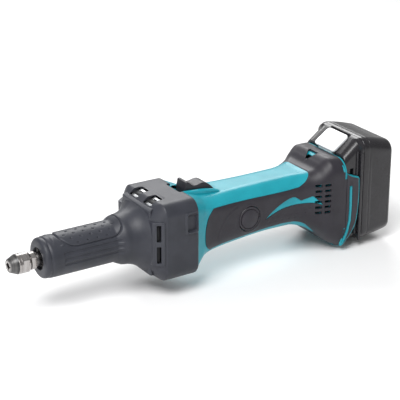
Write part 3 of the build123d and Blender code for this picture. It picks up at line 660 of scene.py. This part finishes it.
shell = {
    "rows": [
        (174.2, 37.4, 36.6, -36.4, 12.0), (180.0, 34.2, 34.4, -32.6, 13.0), (188.0, 30.5, 31.6, -28.4, 14.5),
        (200.0, 28.0, 29.8, -26.3, 15.5), (226.0, 25.6, 29.3, -24.6, 16.0), (262.0, 24.1, 29.2, -22.8, 16.0),
        (292.0, 24.5, 29.2, -23.0, 16.0), (308.0, 28.6, 29.4, -27.0, 15.5), (318.0, 32.6, 31.8, -33.2, 15.0),
        (324.0, 34.4, 37.2, -38.4, 15.0), (331.0, 35.9, 42.2, -44.6, 15.0), (345.0, 37.0, 41.2, -52.8, 14.0),
    ],
    "spigot": [
        (166.0, 36.2, 35.2, -35.2, 10.4), (173.4, 36.2, 35.2, -35.2, 10.4), (174.0, 37.2, 36.4, -36.2, 11.8),
    ],
    "wall": 2.6,
    "proud": 0.5,
    "depth": 1.8,
    "gap": 0.25,  # shadow line between rubber and shell
    "brushX": 238.8, "brushZ": 0.4, "brushR": 12.2,
    "channelHalf": 9.2, "channelFloor": 28.8,
    "vents": {"columns": (315.6, 324.6), "rows": 6, "pitch": 5.6, "top": 19.4},
    "stops": ((174.2, 186, 0.8), (186, 300, 1.0), (300, 345, 0.6)),
    "innerStops": ((174.2, 186, 2), (186, 300, 4), (300, 345, 1.5)),
    "mouth": 342.4,  # where the hollow ends at the rear
    "screws": ((179.5, -26.0), (263.0, -16.0), (300.0, 21.5), (300.0, -17.0), (336.0, 34.0), (336.0, -42.4)),
    "screwWell": 4.0,
}


def curveThrough(points, closed=False, count=8):  # even points on a smooth line through a few
    line = []
    total = len(points)
    last = total if closed else total - 1
    for i in range(last):
        if closed:
            p = [points[(i + k - 1) % total] for k in range(4)]
        else:
            p = [points[max(i - 1, 0)], points[i], points[i + 1], points[min(i + 2, total - 1)]]
        for step in range(count):
            t = step / count
            line.append(tuple(
                0.5 * (2 * p[1][k] + (p[2][k] - p[0][k]) * t
                       + (2 * p[0][k] - 5 * p[1][k] + 4 * p[2][k] - p[3][k]) * t * t
                       + (3 * p[1][k] - p[0][k] - 3 * p[2][k] + p[3][k]) * t**3)
                for k in (0, 1)
            ))
    if not closed:
        line.append(points[-1])
    return line


gripLine = (
    curveThrough([(197.0, 20.4), (190.6, 14.5), (187.2, 6.0), (185.9, -2.5), (186.8, -13.0), (192.6, -19.9)])
    + curveThrough([(192.6, -19.9), (207.0, -18.2), (235.0, -16.9), (263.6, -15.2), (284.0, -14.8),
                    (300.7, -17.8), (310.7, -25.2), (321.0, -35.5), (343.0, -58.0)])[1:]
    + [(343.0, 58.0), (325.0, 58.0)]
    + curveThrough([(321.8, 48.0), (320.0, 40.5), (315.6, 33.0), (306.0, 24.4), (297.0, 19.4)])
    + curveThrough([(297.0, 19.4), (284.0, 18.6), (262.0, 18.7), (234.0, 19.6), (197.0, 20.4)])[1:-1]
)
bladeLine = (
    curveThrough([(258.3, -5.6), (264.0, -0.6), (273.4, 5.2), (283.0, 9.4), (289.7, 11.0)])
    + [(292.6, 10.4), (298.7, 6.0), (305.0, 7.8), (309.6, 9.2), (311.6, 8.6)]
    + curveThrough([(319.7, -0.4), (312.0, 2.2), (300.8, 2.9), (281.2, 2.1), (268.0, -1.2), (258.3, -5.6)])[:-1]
)


def shellRelief(x, angle, y, z):  # soft valley and ridge along the crown's shoulder
    side = min(angle, 2 * pi - angle)
    fade = ease(x, 204, 222) * (1 - ease(x, 300, 314))
    return fade * (0.22 * exp(-((side - 0.52) / 0.12) ** 2) - 0.18 * exp(-((side - 0.76) / 0.13) ** 2))


def grown(outline, amount):  # outline pushed outward along its own normals
    result = []
    total = len(outline)
    area = sum(a[0] * b[1] - b[0] * a[1] for a, b in zip(outline, outline[1:] + outline[:1]))
    turn = 1 if area > 0 else -1
    for i in range(total):
        before, after = outline[i - 1], outline[(i + 1) % total]
        dx, dz = after[0] - before[0], after[1] - before[1]
        size = hypot(dx, dz) or 1.0
        result.append((outline[i][0] + turn * dz / size * amount, outline[i][1] - turn * dx / size * amount))
    return result


def sideCuts(s, extra=0.0):
    cuts = []
    for x in s["vents"]["columns"]:
        for row in range(s["vents"]["rows"]):
            z = s["vents"]["top"] - row * s["vents"]["pitch"]
            cuts.append(block((x, -36, z), (6.6, 40, 2.8), 0.5, 2))
    cuts.append(rod((s["brushX"], -30, s["brushZ"]), s["brushR"] + 0.35 + extra, 40))
    return cuts


cheekLine = (
    [(341.0, 37.0)]
    + curveThrough([(343.6, 31.6), (346.4, 27.6), (352.9, 24.3), (360.0, 21.8)], count=4)
    + curveThrough([(361.2, 20.2), (361.8, 7.0), (361.2, -10.7), (359.2, -25.4), (354.6, -35.4),
                    (343.5, -47.5)], count=4)
    + [(341.0, -48.0)]
)
ribLine = [
    (349.2, 13.6), (351.4, 13.6), (351.8, -8.8), (351.2, -22.6), (348.6, -33.0), (345.6, -40.6), (343.0, -44.0),
    (343.0, -40.6), (346.8, -31.6), (349.2, -21.8), (349.8, -8.8),
]
faceLine = [
    (345.5, 27.4), (349.0, 25.0), (352.9, 22.9), (359.4, 20.4), (359.9, 7.0), (359.4, -10.7), (357.5, -24.8),
    (353.2, -34.2), (344.4, -44.2), (346.3, -40.4), (349.4, -32.8), (352.0, -22.8), (352.6, -8.8), (352.2, 14.4),
    (348.4, 14.4), (348.9, -8.8), (348.4, -21.6), (346.0, -31.2), (343.4, -37.6), (343.4, -31.0), (345.5, -30.2),
]
railLine = [
    (172.5, 29.0), (172.5, 36.6), (180.0, 36.3), (190.0, 35.6), (199.0, 34.6), (206.0, 33.2), (213.6, 30.6),
    (215.0, 28.4),
]
peepLine = [(321.6, 1.0), (321.6, -0.8), (331.6, -8.0), (332.4, -7.2), (332.4, 1.0)]


def makeHalf(s):  # left half of the teal shell
    outer = halved(skin(s["rows"], s["stops"], 220, relief=shellRelief))
    pocket = halved(skin(s["rows"], s["stops"], 220, inset=s["depth"]))
    inner = halved(skin(s["rows"], s["innerStops"], 72, inset=s["wall"]))
    bmesh.ops.bisect_plane(
        inner, geom=inner.verts[:] + inner.edges[:] + inner.faces[:], plane_co=(s["mouth"] * mm, 0, 0),
        plane_no=(1, 0, 0), clear_outer=True)
    capped(inner)
    bmesh.ops.recalc_face_normals(inner, faces=inner.faces)
    bmesh.ops.translate(inner, verts=inner.verts, vec=(-0.4 * mm, 0.4 * mm, 0))
    # what the grip takes away: its outline, down to its depth
    blade = prism(bladeLine, -70, 1)
    well = carved(prism(grown(gripLine, s["gap"]), -70, 1), [blade, pocket])
    cuts = [well, inner] + sideCuts(s)
    # switch channel and its slot, notch for the latch hook, slot in front of the cheek, crown opening
    cuts.append(block((190.0, 0, s["channelFloor"] + 10), (45.0, 2 * s["channelHalf"], 20), 1.2))
    cuts.append(block((189.0, 0, s["channelFloor"]), (26, 8.4, 16)))
    cuts.append(block((343.0, 0, 35.9), (8, 20, 6)))
    cuts.append(block((344.2, -37.0, -3.5), (2.2, 4, 53), 0.4))
    cuts.append(block((325.0, 0, 42), (7.0, 9.0, 20)))
    return carved(outer, cuts)


def makeHalfTrim(s):  # spigot, foot, cheek and lip of the left half
    spigot = halved(skin(s["spigot"], ((166, 174.4, 1.2),), 160))
    hollow = halved(skin([(x, 33.0, 32.0, -32.0, 8.0) for x in (160.0, 180.0)], ((160, 180, 5),), 160))
    bmesh.ops.translate(hollow, verts=hollow.verts, vec=(0, 0.4 * mm, 0))
    notch = block((170.0, 0, 38.8), (16.0, 18.4, 20), 0.8)
    rim = carved(spigot, [hollow, notch])
    cheek = prism(cheekLine, -37.0, -33.2)
    outline = [edge for edge in cheek.edges if abs(edge.verts[0].co.y - edge.verts[1].co.y) < 1e-6]
    roundEdges(cheek, outline, 0.9)
    rib = prism(ribLine, -38.1, -36.0)
    lip = block((354.2, -31.6, -8.0), (3.6, 4.0, 62.0), 0.5)
    foot = block((347.0, -11.0, -50.8), (9.2, 22, 5.0), 1.2)
    nub = rod((350.2, -11.0, -51.4), 2.6, 22.0, "Y", 32, 0.5)
    rail = prism(railLine, -12.4, -9.2)
    rims = [edge for edge in rail.edges
            if max(vert.co.y for vert in edge.verts) < -12.3 * mm or edge.verts[0].co.y != edge.verts[1].co.y]
    roundEdges(rail, rims, 1.3, 4)
    stop = block((212.0, -5.0, 29.6), (3.0, 11.0, 3.6), 0.8)
    floor = block((190.0, -4.9, s["channelFloor"] - 1.1), (44.0, 9.6, 2.0), 0.3)
    slot = block((189.0, 0, s["channelFloor"] - 1), (26, 8.4, 6))
    return joined(rim, cheek, rib, lip, foot, nub, rail, stop, carved(floor, [slot]))


def screwHoles(s):  # wells of the housing screws, before the half is mirrored to the right
    return [rod((x, -31, z), s["screwWell"], 34, "Y", 48) for x, z in s["screws"]]


def makeGrip(s, holes=()):  # moulded rubber on the left half
    proud = halved(skin(s["rows"], s["stops"], 240, inset=-s["proud"], relief=gripRelief))
    # rubber face of the cheek, inside the hard rim and round the hard rib
    face = prism(faceLine, -37.7, -36.6)
    peep = prism(peepLine, 36, 60, "Z")
    under = halved(skin(s["rows"], s["stops"], 160, inset=s["depth"] - 0.05))
    bmesh.ops.translate(under, verts=under.verts, vec=(0, 0.3 * mm, 0))
    outline = carved(proud, [prism(gripLine, -70, 1)], "INTERSECT")
    cuts = [prism(grown(bladeLine, s["gap"]), -70, 1), under, peep] + sideCuts(s, 0.25) + list(holes)
    bar = block((344.1, -36.5, -3.5), (2.8, 1.4, 52.0))
    return joined(carved(outline, cuts), face, bar)


padArc = {"x": 232.0, "z": -14.0, "crest": 29.0, "groove": 30.8, "rise": 0.30, "depth": 0.35}
gripDimple = {"pitch": 7.4, "row": 4.3, "top": -4.2, "lean": -0.05, "depth": 0.6}
gripRing = {"radius": 13.6, "rise": 0.35}


def gripRelief(x, angle, y, z):
    out = 0.0
    # fine curved line moulded into the pad in front of the brush cap
    if 186 < x < 226 and abs(y) > 15:
        away = hypot(x - padArc["x"], z - padArc["z"])
        shown = ease(z, -14, -8)
        out += padArc["rise"] * exp(-((away - padArc["crest"]) / 0.7) ** 2) * shown
        out -= padArc["depth"] * exp(-((away - padArc["groove"]) / 0.7) ** 2) * shown
    # dimples under the blade
    if 254 < x < 316 and abs(y) > 15 and z < 2:
        pitch, row = gripDimple["pitch"], gripDimple["row"]
        band = gripDimple["top"] + gripDimple["lean"] * (x - 258)
        line = round((z - band) / row)
        shift = pitch / 2 if line % 2 else 0.0
        along = (x + shift) / pitch
        near = hypot((along - round(along)) * pitch, z - band - line * row)
        lengthwise = ease(x, 258, 262) * (1 - ease(x, 306, 312))
        inside = lengthwise * ease(z, -14.5, -12.5) * (1 - ease(z, -2.6, -1.0))
        out -= gripDimple["depth"] * inside * (1 - ease(near, 0.3, 1.1))
    # raised band that frames the pad's border round the brush cap
    ring = hypot(x - shell["brushX"], z - shell["brushZ"])
    if abs(y) > 12 and ring < 18:
        out += gripRing["rise"] * (1 - ease(abs(ring - gripRing["radius"]), 0.5, 1.4))
    return out


def makeHandle(s):
    half = makeHalf(s)
    trim = makeHalfTrim(s)
    right = joined(carved(half.copy(), screwHoles(s)), trim.copy())
    left = joined(half, trim)
    teal, rubber = made["tealPlastic"], made["gripRubber"]
    piece("left_shell", left, teal, "housing", ("left_housing",), 34)
    piece("right_shell", mirrored(right), teal, "housing", ("right_housing",), 34)
    left = makeGrip(s)
    right = makeGrip(s, screwHoles(s))
    piece("left_pad", left, rubber, "housing", ("left_grip",), 34)
    piece("right_pad", mirrored(right), rubber, "housing", ("right_grip",), 34)


makeHandle(shell)

# Nose and brush caps

nut = {
    "cone": [
        (0.35, 4.82), (0.0, 5.1), (0.0, 5.9), (0.3, 6.25), (6.6, 9.0), (7.1, 9.25), (7.3, 9.1), (7.3, 6.1),
        (5.1, 5.52),
    ],
    "band": [
        (7.3, 6.1), (7.3, 9.0), (7.75, 9.4), (9.6, 9.4), (9.9, 9.15), (10.2, 9.15), (10.5, 9.4), (17.9, 9.4),
        (18.5, 8.8), (18.5, 6.1),
    ],
    "segments": 144,
    "flatX": 14.2, "flatY": 13.1, "flatSize": (5.6, 10.0, 24.0), "flatRound": 0.25,
}


def makeNut(n):
    cone = turned(n["cone"], n["segments"])
    piece("nut_cone", cone, made["blackSteel"], "collet_nut", ("collet_nut",), 28)
    band = turned(n["band"], n["segments"])
    flats = [block((n["flatX"], side * n["flatY"], 0), n["flatSize"], n["flatRound"]) for side in (-1, 1)]
    piece("nut_band", carved(band, flats), made["brightSteel"], "collet_nut", (), 28)


makeNut(nut)

brushCap = {
    "profile": [
        (22.8, 0.02), (22.8, 12.1), (25.5, 12.1), (26.1, 11.6), (26.2, 10.3), (25.5, 10.1), (25.5, 9.5),
        (26.3, 9.3), (26.6, 8.8), (26.75, 0.02),
    ],
    "segments": 120,
    "notch": (11.6, 26.4, 1.6), "notchSize": (5.0, 3.4, 4.4), "notchRound": 0.5,
}


def makeBrushCap(c, centreX, centreZ, side, name, covered):
    cap = turned(c["profile"], c["segments"])
    bmesh.ops.rotate(cap, verts=cap.verts, matrix=Matrix.Rotation(side * pi / 2, 3, "Z"))
    bmesh.ops.translate(cap, verts=cap.verts, vec=Vector((centreX, 0, centreZ)) * mm)
    dx, y, dz = c["notch"]
    notch = block((centreX + dx, side * y, centreZ + dz), c["notchSize"], c["notchRound"])
    piece(name, carved(cap, [notch]), made["gripRubber"], "housing", (covered,), 30)


makeBrushCap(brushCap, shell["brushX"], shell["brushZ"], -1, "left_cap", "left_brush_cap")
makeBrushCap(brushCap, shell["brushX"], shell["brushZ"], 1, "right_cap", "right_brush_cap")

# Battery

pack = {
    "case": [
        (366.05, 36.2, 57.6, -47.4, 10.0), (366.4, 37.0, 58.2, -48.0, 10.5), (370.0, 37.3, 58.4, -48.0, 10.5),
        (384.0, 37.3, 55.4, -46.6, 10.5), (396.0, 37.1, 52.0, -45.0, 10.5), (399.6, 36.6, 50.9, -44.4, 10.3),
        (401.2, 35.6, 49.8, -43.4, 9.6), (402.0, 33.8, 48.0, -41.6, 8.4),
    ],
    "stops": ((366.05, 367, 0.25), (367, 396, 0.5), (396, 402, 0.3)),
    "step": {"x": 372.8, "depth": 0.45},
    "panel": {"x": 386.6, "z": 2.0, "half": (11.4, 38.0), "corner": 4.0, "depth": 0.3},
    # centre, size, rounding
    "posts": (((364.1, 35.6, -1.0), (3.2, 2.8, 93.0), 0.9), ((360.9, 32.9, 3.0), (2.6, 1.8, 88.0), 0.6)),
}


def caseRelief(x, angle, y, z):  # moulded step beside the posts and a shallow flank panel
    step, panel = pack["step"], pack["panel"]
    out = -step["depth"] * exp(-((x - step["x"]) / 0.4) ** 2)
    if abs(y) > 36:
        d = roundBox(x - panel["x"], z - panel["z"], *panel["half"], panel["corner"])
        out -= panel["depth"] * (1 - ease(d, -0.6, 0.2))
    return out


def makePack(p):
    case = skin(p["case"], p["stops"], 220, relief=caseRelief)
    piece("pack_case", case, made["blackGloss"], "battery", ("battery_case",), 30)
    posts = [
        block((x, side * y, z), size, bevel)
        for side in (-1, 1) for (x, y, z), size, bevel in p["posts"]
    ]
    piece("pack_posts", joined(*posts), made["blackGloss"], "battery", (), 30)


makePack(pack)

latch = {
    "half": (11.4, 15.8), "corner": 3.6, "thick": 3.0, "rounding": 0.8, "slope": -0.5934,
    "centre": (353.2, 0, 50.2),
    "stem": (347.6, 0, 39.4), "stemSize": (4.6, 22.0, 9.6), "stemRound": 0.8,
}


def roundedOutline(halfX, halfY, corner, count=6):
    points = []
    for quarter, (sx, sy) in enumerate(((1, 1), (-1, 1), (-1, -1), (1, -1))):
        for i in range(count + 1):
            angle = pi / 2 * (quarter + i / count)
            x = sx * (halfX - corner) + corner * cos(angle)
            y = sy * (halfY - corner) + corner * sin(angle)
            points.append((x, y))
    return points


def makeLatch(v):
    plate = prism(roundedOutline(*v["half"], v["corner"]), -v["thick"] / 2, v["thick"] / 2, "Z")
    rims = [edge for edge in plate.edges if abs(edge.verts[0].co.z - edge.verts[1].co.z) < 1e-7]
    roundEdges(plate, rims, v["rounding"], 4)
    bmesh.ops.rotate(plate, verts=plate.verts, matrix=Matrix.Rotation(v["slope"], 3, "Y"))
    bmesh.ops.translate(plate, verts=plate.verts, vec=Vector(v["centre"]) * mm)
    stem = block(v["stem"], v["stemSize"], v["stemRound"])
    piece("latch_plate", joined(plate, stem), made["whitePlate"], "battery_button",
          ("release_button",), 30)


makeLatch(latch)
